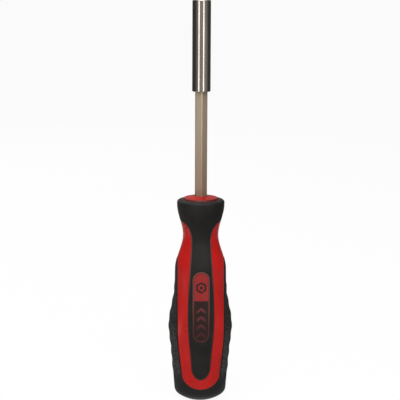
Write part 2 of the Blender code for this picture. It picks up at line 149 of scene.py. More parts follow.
# Steps of a quarter circle, as the part of its radius that is left to the edge
QUARTER = 1.0 - np.sin(quarter_turn(8))


def eased(value, low, high):
    """Smooth step from 0 at low to 1 at high."""
    t = np.clip((value - low) / (high - low), 0.0, 1.0)
    return t * t * (3.0 - 2.0 * t)


def smooth_curve(stations, height):
    """Values on a curve through (height, value) stations: cubic pieces whose slope at a station is the
    harmonic mean of the grades beside it, or level where the curve turns, so that it never overshoots."""
    at, value = np.array(stations).T
    span = np.diff(at)
    grade = np.diff(value) / span
    product = grade[:-1] * grade[1:]
    total = np.where(product > 0.0, grade[:-1] + grade[1:], 1.0)
    inner = np.where(product > 0.0, 2.0 * product / total, 0.0)
    slope = np.concatenate((grade[:1], inner, grade[-1:]))
    height = np.clip(height, at[0], at[-1])
    k = np.clip(np.searchsorted(at, height, side="right") - 1, 0, len(span) - 1)
    t = (height - at[k]) / span[k]
    bend = slope[k] * t * (1.0 - t) ** 2 - slope[k + 1] * t * t * (1.0 - t)
    return value[k] + (value[k + 1] - value[k]) * eased(t, 0.0, 1.0) + span[k] * bend


def half_width(height):
    """Half width of the handle at a height."""
    return smooth_curve(WIDTHS, height)


def with_grade(stations, height):
    """Value and slope of a curve through stations at a height."""
    step = 0.0001
    grade = (smooth_curve(stations, height + step) - smooth_curve(stations, height - step)) / (2.0 * step)
    return smooth_curve(stations, height), grade


def skin(turn, height, lift):
    """The handle's outside: an oval of half width a(z) and half depth b(z), with x = a sin(turn) and
    y = -b cos(turn), moved out by a lift along its normal, which runs along
    (sin / a, -cos / b, -(sin^2 a' / a + cos^2 b' / b))."""
    turn, height, lift = np.broadcast_arrays(turn, height, lift)
    a, a_grade = with_grade(WIDTHS, height)
    b, b_grade = with_grade(DEPTHS, height)
    s = np.sin(turn)
    c = np.cos(turn)
    normal = np.stack((s / a, -c / b, -(s * s * a_grade / a + c * c * b_grade / b)), -1)
    normal = normal / np.linalg.norm(normal, axis=-1, keepdims=True)
    return np.stack((a * s, -b * c, height), -1) + normal * lift[..., None]


def ring(turn, radius, height, flatness=1.0):
    """Points round the axis: x = r sin(turn), y = -f r cos(turn)."""
    turn, radius, height = np.broadcast_arrays(turn, radius, height)
    return np.stack((radius * np.sin(turn), -flatness * radius * np.cos(turn), height), -1)


def turn_at(half, height):
    """Turn from the front at which the handle's outside is a half chord away from the middle plane."""
    return np.arcsin(np.clip(half / half_width(height), 0.0, 1.0))


def long_side(stations, height):
    """A long side of an outline through (height, half chord) stations, as (turn, height)."""
    return turn_at(smooth_curve(stations, height), height), height


def lower_bow(station, end, angle):
    """A quarter oval that closes an outline below its lowest station (h, w), as (turn, height): the height
    is h - (h - end) sin, the half chord w cos."""
    height = station[0] - (station[0] - end) * np.sin(angle)
    return turn_at(station[1] * np.cos(angle), height), height


def evenly(curve, count):
    """A curve of (turn, height) points taken again at even steps along its length on the handle."""
    turn, height = curve
    steps = np.linalg.norm(np.diff(skin(turn, height, 0.0), axis=0), axis=-1)
    along = np.concatenate(([0.0], np.cumsum(steps)))
    wanted = np.linspace(0.0, along[-1], count)
    return np.interp(wanted, along, turn), np.interp(wanted, along, height)


def joined(first, *others):
    """Curves of (turn, height) points one after another, with the point that two of them share taken once."""
    return tuple(np.concatenate((first[k], *(other[k][1:] for other in others))) for k in (0, 1))


# Steps of the edge curves' bows, and the ends of the arch between the collar and the tongue
EDGE_TURN = quarter_turn(121)
ARCH_WIDE = half_width(ARCH_TOP)
NECK = TONGUE_STATIONS[2][1]


def arch(angle):
    """The arch as (turn, height): half chord = W - (W - n) sin, height = foot + rise cos."""
    height = ARCH_FOOT + (ARCH_TOP - ARCH_FOOT) * np.cos(angle)
    return turn_at(ARCH_WIDE - (ARCH_WIDE - NECK) * np.sin(angle), height), height


def side_tip():
    """Height at which the red band's outer sides reach the handle's flanks and the lower grip's sides end."""
    highest = 0.0900
    flank = np.linspace(SIDE_CLOSING, highest, 4001)
    return float(np.interp(-BAND_STATIONS[1][1], -half_width(flank), flank))


SIDE_TIP = side_tip()


def tip_heights(low, count):
    """Heights from low up to the tip of the side, closer together towards the tip: tip - (tip - low) s^2."""
    return SIDE_TIP - (SIDE_TIP - low) * np.linspace(1.0, 0.0, count) ** 2


# Edges on the front right. The tongue has an arch under the collar, a long side and a bow at its end; the
# outer edge of the red band has a long side from its tip down and a bow at its lower end
TONGUE_EDGE = skin(
    *joined(
        arch(EDGE_TURN),
        long_side(TONGUE_STATIONS, np.linspace(ARCH_FOOT, TONGUE_TURN[0], 200)),
        lower_bow(TONGUE_TURN, TONGUE_END, EDGE_TURN),
    ),
    0.0,
)
BAND_EDGE = skin(
    *joined(
        long_side(BAND_STATIONS, tip_heights(EDGE_CLOSING, 60)[::-1]),
        long_side(BAND_STATIONS, np.linspace(EDGE_CLOSING, BAND_TURN[0], 160)),
        lower_bow(BAND_TURN, BAND_END, EDGE_TURN),
    ),
    0.0,
)


def edge_distance(points, edge):
    """Distance of each point from an edge of the front right quarter, to which the handle's symmetry folds
    it: the least distance from the straight steps between the edge's points."""
    folded = np.stack((np.abs(points[..., 0]), -np.abs(points[..., 1]), points[..., 2]), -1)
    best = np.full(points.shape[:-1], 1.0)
    step = np.diff(edge, axis=0)
    square = (step**2).sum(-1) + 1e-18
    for part in np.array_split(np.arange(len(step)), 12):
        away = folded[..., None, :] - edge[part]
        t = np.clip((away * step[part]).sum(-1) / square[part], 0.0, 1.0)
        gap = np.linalg.norm(away - t[..., None] * step[part], axis=-1)
        best = np.minimum(best, gap.min(-1))
    return best


def rolled(distance, radius):
    """Drop of a rounded edge at a distance from it: a quarter circle of that radius."""
    t = np.clip(1.0 - distance / radius, 0.0, 1.0)
    return radius * (1.0 - np.sqrt(1.0 - t * t))


def both_ways(count, end):
    """Places from -1 to 1 across rows: even steps in the middle, and the given places near both ends."""
    even = np.linspace(0.0, 1.0, count, endpoint=False) * end[:, :1]
    half = np.concatenate((even, end), 1)
    return np.concatenate((-half[:, :0:-1], half), 1)


def across(count, reach, radius):
    """Places across rows of the given half lengths, with the steps of a quarter circle of that radius at both
    ends, or of a smaller one where a row is short."""
    reach = np.maximum(reach, NO_WIDTH)[:, None]
    return both_ways(count, 1.0 - np.minimum(radius, 0.5 * reach) / reach * QUARTER)


def sides(grid):
    """Paths along the first and the last column of a grid."""
    rows, columns = grid.shape[:2]
    return [(np.arange(rows), 0), (np.arange(rows), columns - 1)]


def wing_rims(row, wing, columns):
    """Paths along one row of a grid over the columns of its two wings."""
    return [(row, np.arange(wing + 1)), (row, np.arange(columns - wing - 1, columns))]


class Shape:
    """Points and quads of a piece, put together from grids."""

    def __init__(self):
        self.points = []
        self.quads = []
        self.wear = []
        self.count = 0

    def add(self, points, quads, wear):
        """Take in points, the quads between them, and each point's distance from the nearest edge."""
        self.points.append(points.reshape(-1, 3))
        self.wear.append(np.broadcast_to(wear, points.shape[:-1]).reshape(-1))
        self.quads.append(quads + self.count)
        self.count += len(self.points[-1])
        return self

    def sheet(self, points, wrap=False, ends_meet=False, wear=FAR):
        """A grid of points as a surface; wrap joins the last column to the first, ends_meet the last row."""
        return self.add(points, grid_quads(*points.shape[:2], wrap, ends_meet), wear)

    def slab(self, outer, inner, rims, wear):
        """Two grids as the outside and inside of a wall, with rims along paths of (row, column) places."""
        rows, columns = outer.shape[:2]
        face = grid_quads(rows, columns, False, False)
        size = rows * columns
        parts = [face, face[:, ::-1] + size]
        for row, column in rims:
            row, column = np.broadcast_arrays(row, column)
            path = row * columns + column
            parts.append(np.stack((path[:-1], path[1:], path[1:] + size, path[:-1] + size), -1))
        both_wear = np.stack((wear, np.full_like(wear, FAR)))
        return self.add(np.stack((outer, inner)), np.concatenate(parts), both_wear)

    def take(self, other, way=(1.0, 1.0, 1.0)):
        """Take in another shape, mirrored by the given signs of (x, y, z)."""
        self.points += [points * way for points in other.points]
        self.quads += [quads + self.count for quads in other.quads]
        self.wear += other.wear
        self.count += other.count
        return self

    def mirrored(self, *ways):
        """The same shape with copies mirrored by the given signs of (x, y, z)."""
        whole = Shape().take(self)
        for way in ways:
            whole.take(self, way)
        return whole


def grid_quads(rows, columns, wrap, ends_meet):
    """Quads of a grid of points stored row after row."""
    row = np.arange(rows if ends_meet else rows - 1)[:, None]
    column = np.arange(columns if wrap else columns - 1)[None, :]
    beside = (column + 1) % columns
    here = row * columns
    above = (row + 1) % rows * columns
    corners = (here + column, here + beside, above + beside, above + column)
    return np.stack(np.broadcast_arrays(*corners), -1).reshape(-1, 4)


def placed(name, data):
    """A new object with that data, in the scene."""
    thing = bpy.data.objects.new(name, data)
    bpy.context.scene.collection.objects.link(thing)
    return thing


def piece(node, shape, finish):
    """A finished piece in the place of a node: its mesh with doubles merged and faces turned outwards, riding
    on the tool's one body."""
    name = "fine_" + node
    points = np.concatenate(shape.points)
    quads = np.concatenate(shape.quads)
    mesh = bpy.data.meshes.new(name)
    mesh.vertices.add(len(points))
    mesh.vertices.foreach_set("co", points.ravel())
    mesh.loops.add(quads.size)
    mesh.loops.foreach_set("vertex_index", quads.ravel().astype(np.int32))
    mesh.polygons.add(len(quads))
    mesh.polygons.foreach_set("loop_start", np.arange(0, quads.size, 4, dtype=np.int32))
    near = mesh.attributes.new("edge", "FLOAT", "POINT")
    near.data.foreach_set("value", np.minimum(np.concatenate(shape.wear) * 1000.0, 10.0))
    mesh.update(calc_edges=True)
    work = bmesh.new()
    work.from_mesh(mesh)
    bmesh.ops.remove_doubles(work, verts=work.verts, dist=SAME_POINT)
    bmesh.ops.recalc_face_normals(work, faces=work.faces)
    work.to_mesh(mesh)
    work.free()
    mesh.shade_smooth()
    mesh.set_sharp_from_angle(angle=SHARP_ANGLE)
    mesh.materials.append(finish.material)
    thing = placed(name, mesh)
    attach(thing, "root")
    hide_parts(node)


class Wire:
    """One value in a tree of nodes. Arithmetic with numbers or other values adds Math nodes."""

    def __init__(self, nodes, socket):
        self.nodes = nodes
        self.socket = socket

    def math(self, operation, *values):
        """A Math node on these values."""
        return self.nodes.node("ShaderNodeMath", {"operation": operation}, dict(enumerate(values)))

    def __add__(self, other):
        return self.math("ADD", self, other)

    def __radd__(self, other):
        return self.math("ADD", other, self)

    def __sub__(self, other):
        return self.math("SUBTRACT", self, other)

    def __rsub__(self, other):
        return self.math("SUBTRACT", other, self)

    def __mul__(self, other):
        return self.math("MULTIPLY", self, other)

    def __rmul__(self, other):
        return self.math("MULTIPLY", other, self)

    def __truediv__(self, other):
        return self.math("DIVIDE", self, other)

    def __rtruediv__(self, other):
        return self.math("DIVIDE", other, self)

    def __pow__(self, other):
        return self.math("POWER", self, other)

    def __rpow__(self, other):
        return self.math("POWER", other, self)

    def __abs__(self):
        return self.math("ABSOLUTE", self)

    def most(self, other):
        """The larger of two values."""
        return self.math("MAXIMUM", self, other)

    def fract(self):
        """What this value is past a whole number."""
        return self.math("FRACT", self)

    def ease(self, low, high, start=0.0, end=1.0):
        """Smooth step of this value between low and high, from start to end."""
        settings = {"interpolation_type": "SMOOTHSTEP"}
        return self.nodes.node("ShaderNodeMapRange", settings, {0: self, 1: low, 2: high, 3: start, 4: end})


class Nodes:
    """The nodes of the world or of a material, which end in the named output."""

    def __init__(self, tree, end):
        self.tree = tree
        self.end = tree.nodes[end].inputs["Surface"]

    def node(self, kind, settings=None, sockets=None, output=0):
        """Any node: its type, its settings, then the values or wires of its sockets. Gives one output."""
        made = self.tree.nodes.new(kind)
        for name, value in (settings or {}).items():
            setattr(made, name, value)
        for name, value in (sockets or {}).items():
            if isinstance(value, Wire):
                self.tree.links.new(value.socket, made.inputs[name])
            else:
                made.inputs[name].default_value = value
        return Wire(self, made.outputs[output])

    def show(self, shader):
        """Lead a shader into the output."""
        self.tree.links.new(shader.socket, self.end)

    def show_white(self, plain, white, share):
        """Show a shader that camera, mirror and glass rays see as white by a share, and other rays as the
        plain one. The white is an Emission or, in the world, a Background."""
        camera_ray, mirror_ray, glass_ray = (
            self.node("ShaderNodeLightPath", output=ray)
            for ray in ("Is Camera Ray", "Is Glossy Ray", "Is Transmission Ray")
        )
        seen = camera_ray.most(mirror_ray).most(glass_ray) * share
        bright = self.node(white, None, {"Color": colour(WHITE), "Strength": 1.0})
        self.show(self.node("ShaderNodeMixShader", None, {0: seen, 1: plain, 2: bright}))


class Finish(Nodes):
    """A material with its nodes, named for its slot in the record or for its sheet of the studio."""

    def __init__(self, slot, **constants):
        self.slot = slot
        self.material = bpy.data.materials.new("fine_" + slot)
        self.material.use_nodes = True
        super().__init__(self.material.node_tree, "Material Output")
        self.shader = self.tree.nodes["Principled BSDF"]
        for socket, value in constants.items():
            self.shader.inputs[socket.replace("_", " ")].default_value = value
        self.place = self.node("ShaderNodeTexCoord", output="Object")

    def feed(self, socket, wire):
        """Lead a value into the shader."""
        self.tree.links.new(wire.socket, self.shader.inputs[socket])

    def axis(self, name):
        """One coordinate in millimetres."""
        return self.node("ShaderNodeSeparateXYZ", None, {0: self.place}, name) * 1000.0

    def turn(self):
        """Turn from the front about the axis, in degrees: atan2(x, -y)."""
        x = self.axis("X")
        return x.math("ARCTAN2", x, 0.0 - self.axis("Y")) * (180.0 / math.pi)

    def noise(self, scale, detail=2.0, factors=(1.0, 1.0, 1.0)):
        """Soft noise from 0 to 1 in grains of about 1 / scale metres, with each coordinate times a factor."""
        place = self.node("ShaderNodeVectorMath", {"operation": "MULTIPLY"}, {0: self.place, 1: factors})
        return self.node("ShaderNodeTexNoise", None, {"Vector": place, "Scale": scale, "Detail": detail})

    def edge(self):
        """Distance from the piece's nearest edge in millimetres."""
        return self.node("ShaderNodeAttribute", {"attribute_name": "edge"}, None, "Fac")

    def tint(self, share, first, second):
        """Colour that goes from the first to the second with the share."""
        sockets = {0: share, 6: colour(first), 7: colour(second)}
        return self.node("ShaderNodeMix", {"data_type": "RGBA"}, sockets, 2)

    def dress(self, base, roughness, height, distance, strength):
        """Feed the colour, the roughness and a relief, a height from 0 to 1 over a distance in metres."""
        sockets = {"Strength": strength, "Distance": distance, "Height": height}
        self.feed("Base Color", base)
        self.feed("Roughness", roughness)
        self.feed("Normal", self.node("ShaderNodeBump", None, sockets))
        return self


def colour(value):
    """A colour as the sockets take it."""
    return value if isinstance(value, Wire) else (*value, 1.0)


# Colours of the finishes
RED_DEEP = (0.375, 0.0055, 0.0045)
RED_BRIGHT = (0.430, 0.0070, 0.0055)
# Painted shade in the red's seams
RED_SEAM_SHADE = (0.070, 0.005, 0.005)
SOFT_DARK = (0.0100, 0.0095, 0.0088)
SOFT_PALE = (0.0140, 0.0132, 0.0122)
# Painted highlight on the soft black's edges
SOFT_EDGE_HIGHLIGHT = (0.120, 0.085, 0.070)
GRAIN_DARK = (0.0050, 0.0050, 0.0053)
GRAIN_PALE = (0.0520, 0.0505, 0.0490)
PLATE_RED = (0.28, 0.013, 0.013)
PLATE_RIM = (0.135, 0.038, 0.030)
PLATE_DARK = (0.020, 0.010, 0.009)
PANEL_DARK = (0.024, 0.010, 0.008)
PANEL_RED = (0.13, 0.020, 0.026)
NICKEL_CLEAN = (0.71, 0.580, 0.455)
NICKEL_DARKER_LOW = (0.530, 0.385, 0.280)
# Painted shade at the shaft's foot
NICKEL_FOOT_SHADE = (0.25, 0.17, 0.12)
# Painted highlight on the shaft's corners
NICKEL_CORNER_HIGHLIGHT = (0.95, 0.84, 0.70)
STEEL_CLEAN = (0.66, 0.618, 0.572)
STEEL_SMEARED = (0.56, 0.518, 0.474)
MAGNET_BRIGHT = (0.58, 0.56, 0.53)
MAGNET_SCRATCHED = (0.46, 0.44, 0.41)
WIRE_BLUE = (0.26, 0.26, 0.275)
WIRE_GREY = (0.37, 0.365, 0.36)
FLOOR_PALE = (0.86, 0.86, 0.85)
WHITE = (1.0, 1.0, 1.0)
BLACK = (0.0, 0.0, 0.0)
WARM_WHITE = (1.0, 0.95, 0.88)

# Glow of a studio card at its very brightest
GLOW_MOST = 4.0


def red_plastic():
    """Hard red moulding: a slight flow mottle, painted shade darkening the seams, fine orange peel."""
    made = Finish("red_hard_plastic", IOR=1.48, Specular_IOR_Level=0.35)
    mottle = made.noise(70.0, 3.0)
    base = made.tint(mottle.ease(0.3, 0.7), RED_DEEP, RED_BRIGHT)
    # Painted shade: the red darkens within half a millimetre of a seam
    seam_shade = made.edge().ease(0.0, 0.50, 1.0, 0.0)
    shade = made.tint(seam_shade * 0.9, base, RED_SEAM_SHADE)
    roughness = 0.24 + 0.08 * mottle + 0.15 * seam_shade
    return made.dress(shade, roughness, made.noise(1500.0), 0.00002, 0.35)


def soft_black():
    """Smooth soft black moulding: dull, with faint cloudy wear and a painted highlight on its edges."""
    made = Finish("black_soft_grip", IOR=1.45, Specular_IOR_Level=0.27)
    cloud = made.noise(160.0, 4.0)
    base = made.tint(cloud.ease(0.3, 0.7), SOFT_DARK, SOFT_PALE)
    # Painted highlight: a pale line on the rolled edges, fainter low down
    edge_highlight = made.edge().ease(0.10, 0.75, 1.0, 0.0) * made.axis("Z").ease(58.0, 74.0, 0.30, 1.0)
    shade = made.tint(edge_highlight * 0.90, base, SOFT_EDGE_HIGHLIGHT)
    return made.dress(shade, 0.50 + 0.14 * cloud, made.noise(5200.0), 0.000012, 0.5)


def grained_black():
    """Grained soft black moulding: small pebbles thin out to the smooth butt; painted shade high up."""
    made = Finish("black_grained_grip", IOR=1.45, Specular_IOR_Level=0.35)
    cells = {"Vector": made.place, "Scale": 1100.0}
    pebbles = made.node("ShaderNodeTexVoronoi", {"feature": "SMOOTH_F1"}, cells)
    fleck = made.noise(700.0, 3.0)
    height = made.axis("Z")
    grained = height.ease(9.0, 20.0)
    grain = (1.0 - pebbles) * 0.5 + fleck * 0.5
    # Painted shade: fewer pale flecks above the belly and none right by the red band's edges
    flank_shade = height.ease(36.0, 47.0, 1.0, 0.45)
    pale = grain.ease(0.28, 0.76) * grained * flank_shade * made.edge().ease(0.1, 1.1)
    roughness = 0.58 + 0.22 * grained + 0.08 * fleck
    return made.dress(made.tint(pale, GRAIN_DARK, GRAIN_PALE), roughness, grain * grained, 0.00010, 0.8)


def badge_print(slot, ground, ink, mark, framed):
    """Printed badge field: a ground colour with a mark in ink, slightly worn, and framed if it has a rim."""
    made = Finish(slot, IOR=1.48, Specular_IOR_Level=0.35)
    wear = made.noise(900.0, 4.0)
    base = made.tint(wear.ease(0.3, 0.8), ground, tuple(0.82 * c for c in ground))
    field = framed(made, made.tint(mark(made) * wear.ease(0.15, 0.40), base, ink))
    return made.dress(field, 0.36 + 0.14 * wear, made.noise(2400.0), 0.00001, 0.4)


def plate_print():
    """Badge plate: a red field with a hexagon, inside a rim."""
    return badge_print("badge_red", PLATE_RED, PLATE_DARK, hexagon_mark, plate_rim)


def panel_print():
    """Badge panel: a dark field with red chevrons, without a rim."""
    return badge_print("badge_dark", PANEL_DARK, PANEL_RED, chevron_mark, lambda made, field: field)


def plate_rim(made, field):
    """A field inside a rim that darkens downwards, with a dark groove between them."""
    inside = made.edge()
    low = made.axis("Z").ease(38.0, 66.0, 1.0, 0.0)
    edging = made.tint(low, PLATE_RIM, tuple(0.35 * c for c in PLATE_RIM))
    framed = made.tint(inside.ease(0.62, 0.70, 1.0, 0.0), field, edging)
    groove = inside.ease(0.66, 0.72) * inside.ease(0.80, 0.92, 1.0, 0.0)
    return made.tint(groove * 0.8, framed, PLATE_DARK)


def hexagon_mark(made):
    """A hexagon ring with a dot, as of a hex socket seen from its end: the hexagon's radius is the most of
    |x| and |x| / 2 + |z| sqrt(3) / 2, with z from the mark's middle."""
    middle = 67.2
    x = abs(made.axis("X"))
    z = abs(made.axis("Z") - middle)
    radius = x.most(x * 0.5 + z * (math.sqrt(3.0) / 2.0))
    band = abs(radius - 2.3).ease(0.42, 0.56, 1.0, 0.0)
    dot = radius.ease(0.75, 0.92, 1.0, 0.0)
    return band.most(dot)


def chevron_mark(made):
    """A row of four chevrons that point to the tip and fade downwards: the height plus a share of |x| repeats
    along the row."""
    foot = 39.2
    pitch = 4.6
    x = abs(made.axis("X"))
    z = made.axis("Z")
    along = (z + x * 0.8 - foot) / pitch
    stroke = abs(along.fract() - 0.5).ease(0.15, 0.20, 1.0, 0.0)
    inside = x.ease(2.3, 2.5, 1.0, 0.0) * along.ease(0.0, 0.05) * along.ease(3.95, 4.0, 1.0, 0.0)
    return stroke * inside * z.ease(38.0, 58.0, 0.30, 1.0)


def satin_nickel():
    """Satin nickel plate on drawn bar: fine lines along the bar, darker and warmer towards the handle,
    painted shade at the bar's foot, and a highlight painted on the corners towards the sleeve, which are
    less rough there. The turn in sixths is a whole number at a corner."""
    made = Finish("satin_nickel_steel", Metallic=1.0)
    lines = made.noise(5000.0, 3.0, (1.0, 1.0, 0.01))
    cloud = made.noise(90.0, 3.0)
    height = made.axis("Z")
    # Darker and warmer towards the handle, with a faint cloud
    low_tone = height.ease(112.0, 165.0, 1.0, 0.0) * 0.75 + cloud * 0.25
    plate = made.tint(low_tone, NICKEL_CLEAN, NICKEL_DARKER_LOW)
    # Painted shade at the bar's foot, where it goes into the nose
    plate = made.tint(height.ease(115.0, 122.0, 0.45, 0.0), plate, NICKEL_FOOT_SHADE)
    # Painted highlight: corners paler and less rough towards the sleeve
    sixths = (made.turn() - math.degrees(HEX_TURN)) / 60.0
    corner = abs(sixths.fract() - 0.5).ease(0.38, 0.47)
    edge_highlight = corner * height.ease(118.0, 165.0, 0.0, 0.9)
    roughness = 0.52 + 0.14 * lines + 0.08 * cloud - 0.25 * edge_highlight
    return made.dress(made.tint(edge_highlight, plate, NICKEL_CORNER_HIGHLIGHT), roughness, lines, 0.000006, 0.6)


def polished_steel():
    """Polished turned steel: very fine lines round the sleeve, faint handling marks."""
    made = Finish("polished_steel", Metallic=1.0)
    lines = made.noise(4000.0, 2.0, (0.01, 0.01, 1.0))
    smear = made.noise(220.0, 4.0, (1.0, 1.0, 0.25))
    shade = made.tint(smear.ease(0.3, 0.75), STEEL_CLEAN, STEEL_SMEARED)
    roughness = 0.13 + 0.02 * lines + 0.03 * smear.ease(0.45, 0.8)
    return made.dress(shade, roughness, lines, 0.0000015, 0.3)


def plated_magnet():
    """Nickel plated magnet: a bright end with small scratches from the bits."""
    made = Finish("nickel_plated_magnet", Metallic=1.0)
    scratch = made.noise(2600.0, 4.0, (1.0, 0.08, 1.0))
    shade = made.tint(scratch.ease(0.4, 0.7), MAGNET_BRIGHT, MAGNET_SCRATCHED)
    return made.dress(shade, 0.20 + 0.22 * scratch, scratch, 0.000004, 0.5)


def spring_wire():
    """Bare spring wire: dark drawn steel with a faint blue-grey mottle."""
    made = Finish("spring_steel", Metallic=1.0)
    mottle = made.noise(1400.0, 3.0)
    shade = made.tint(mottle, WIRE_BLUE, WIRE_GREY)
    return made.dress(shade, 0.28 + 0.20 * mottle, mottle, 0.000006, 0.4)


def collar_shape():
    """Collar with its tongues. The tongue is a grid of level rows between its two edges; the collar stands on
    it and on the arches as upright columns from the lower edge to the top, and rounds over into the nose's
    hole in two quarter ovals."""
    edge_turn, height = joined(
        lower_bow(TONGUE_TURN, TONGUE_END, quarter_turn(27)[::-1]),
        long_side(TONGUE_STATIONS, np.linspace(TONGUE_TURN[0], ARCH_FOOT, 61)),
    )
    place = across(20, edge_turn * half_width(height), GRIP_ROLL)
    turn = place * edge_turn[:, None]
    height = np.broadcast_to(height[:, None], turn.shape)
    front = Shape()
    add_wall(front, turn, height, sides(turn), TONGUE_EDGE, badge_seat)
    wing_turn, wing_foot = arch(quarter_turn(36)[-2::-1])
    columns = np.concatenate((-wing_turn[::-1], turn[-1], wing_turn))
    foot = np.concatenate((wing_foot[::-1], height[-1], wing_foot))
    round_depth = 0.00145
    round_rise = 0.00133
    round_reach = 0.0023
    top = COLLAR_TOP - round_depth
    near = foot + GRIP_ROLL * QUARTER[::-1, None]
    rise = near[-1] + (top - near[-1]) * np.linspace(0.0, 1.0, 15)[1:, None]
    upright = np.concatenate((near, rise))
    rims = wing_rims(0, len(wing_turn), len(columns))
    add_wall(front, columns, upright, rims, TONGUE_EDGE, badge_seat)
    angle = quarter_turn(9)
    hole = NOSE_RADIUS + PLAY
    lip = 0.00030
    hole_foot = top - 0.0004
    profile = np.concatenate(
        (
            np.stack((COLLAR_RADIUS - round_reach * (1.0 - np.cos(angle)), top + round_rise * np.sin(angle))),
            np.stack((hole + lip * (1.0 - np.sin(angle)), COLLAR_TOP - lip * (1.0 - np.cos(angle)))),
            [[hole], [hole_foot]],
            [[COLLAR_RADIUS - MOULD_DEPTH], [top]],
        ),
        1,
    )
    # The edge distance from the nose's hole lets the black finish paint a highlight on the lip
    gap = np.hypot(profile[0] - hole, profile[1] - COLLAR_TOP) * 0.7 + 0.0001
    front.sheet(ring(columns, *profile[..., None]), wear=gap[:, None])
    return front.mirrored((1.0, -1.0, 1.0))


def add_wall(shape, turn, height, rims, edge, relief):
    """A wall of a moulding over a grid of turns and heights: its outside has a relief and drops in a quarter
    circle towards the edge, its inside lies a fixed depth under the handle's skin."""
    points = skin(turn, height, 0.0)
    distance = edge_distance(points, edge)
    outer = skin(turn, height, relief(points, distance) - rolled(distance, GRIP_ROLL))
    inner = skin(turn, height, -MOULD_DEPTH)
    shape.slab(outer, inner, rims, distance)


def badge_inside(points):
    """How far inside the badge's capsule a front point lies: w - sqrt(x^2 + (|z - middle| - straight)^2)."""
    past = np.maximum(np.abs(points[..., 2] - BADGE_HEIGHT) - BADGE_STRAIGHT, 0.0)
    return BADGE_HALF_WIDTH - np.hypot(points[..., 0], past)


def badge_seat(points, distance):
    """Relief of the tongues, whatever the distance from their edges: the front one sinks under the badge, out
    of sight."""
    inside = np.where(points[..., 1] < 0.0, badge_inside(points), -1.0)
    return -BADGE_SEAT * eased(inside, 0.0001, 0.0007)


def rib_rise(points, distance):
    """Relief of the lower grip: ribs as a row of raised cosines up the handle, strongest at the flanks by
    |x| / a(z), that fade out towards the edges."""
    height = points[..., 2]
    along = (height - RIB_LOWEST) / RIB_PITCH + 0.5
    wave = 0.5 - 0.5 * np.cos(2.0 * np.pi * along)
    wave = np.where((along > 0.0) & (along < RIB_COUNT), wave, 0.0)
    return RIB_HEIGHT * wave * np.abs(points[..., 0]) / half_width(height) * eased(distance, *RIB_FADE)


def lower_grip_shape():
    """Lower grip. Each side is a grid of level rows between its edges up to the tip, where the last row is
    one point; the butt is made of columns from the middle of the foot over the dome up to the red band's bow
    or to the foot of the side."""
    height = np.concatenate((np.linspace(BAND_TURN[0], SIDE_CLOSING, 78), tip_heights(SIDE_CLOSING, 22)[1:]))
    half_turn = np.pi / 2.0 - long_side(BAND_STATIONS, height)[0]
    half_turn[-1] = 0.0
    place = across(20, half_turn * half_width(height), GRIP_ROLL)
    turn = np.pi / 2.0 + place * half_turn[:, None]
    height = np.broadcast_to(height[:, None], turn.shape)
    right = Shape()
    add_wall(right, turn, height, sides(turn), BAND_EDGE, rib_rise)
    wing_turn, wing_top = lower_bow(BAND_TURN, BAND_END, quarter_turn(36)[:0:-1])
    beside = wing_turn < turn[0, 0]
    wing_turn = wing_turn[beside]
    wing_top = wing_top[beside]
    columns = np.concatenate((wing_turn, turn[0], np.pi - wing_turn[::-1]))
    top = np.concatenate((wing_top, height[0], wing_top[::-1]))
    near = top - GRIP_ROLL * QUARTER[:, None]
    rise = SHOULDER_HEIGHT + (near[0] - SHOULDER_HEIGHT) * np.linspace(0.0, 1.0, 9)[:-1, None]
    upright = np.concatenate((rise, near))
    rims = wing_rims(len(upright) - 1, len(wing_turn), len(columns))
    add_wall(right, columns, upright, rims, BAND_EDGE, rib_rise)
    start = math.asin(FOOT_RADIUS / DOME_RADIUS)
    bend = math.asin(FILLET_MIDDLE / (DOME_RADIUS - DOME_FILLET))
    ball = np.linspace(start, bend, 15)
    fillet = np.linspace(bend, np.pi / 2.0, 13)[1:]
    foot = np.linspace(0.0, FOOT_RADIUS, 4)[:-1]
    radius = np.concatenate((foot, DOME_RADIUS * np.sin(ball), FILLET_MIDDLE + DOME_FILLET * np.sin(fillet)))
    level = np.concatenate(
        (0.0 * foot, DOME_RISE - DOME_RADIUS * np.cos(ball), SHOULDER_HEIGHT - DOME_FILLET * np.cos(fillet))
    )
    slant = np.concatenate((0.0 * foot, ball, fillet))
    outer = ring(columns, radius[:, None], level[:, None], FLATNESS)
    inner_radius = np.maximum(radius - MOULD_DEPTH * np.sin(slant), 0.0)
    inner = ring(columns, inner_radius[:, None], (level + MOULD_DEPTH * np.cos(slant))[:, None], FLATNESS)
    inner[-1] = skin(columns, SHOULDER_HEIGHT, -MOULD_DEPTH)
    right.slab(outer, inner, [], np.full(outer.shape[:2], FAR))
    return right.mirrored((-1.0, 1.0, 1.0))


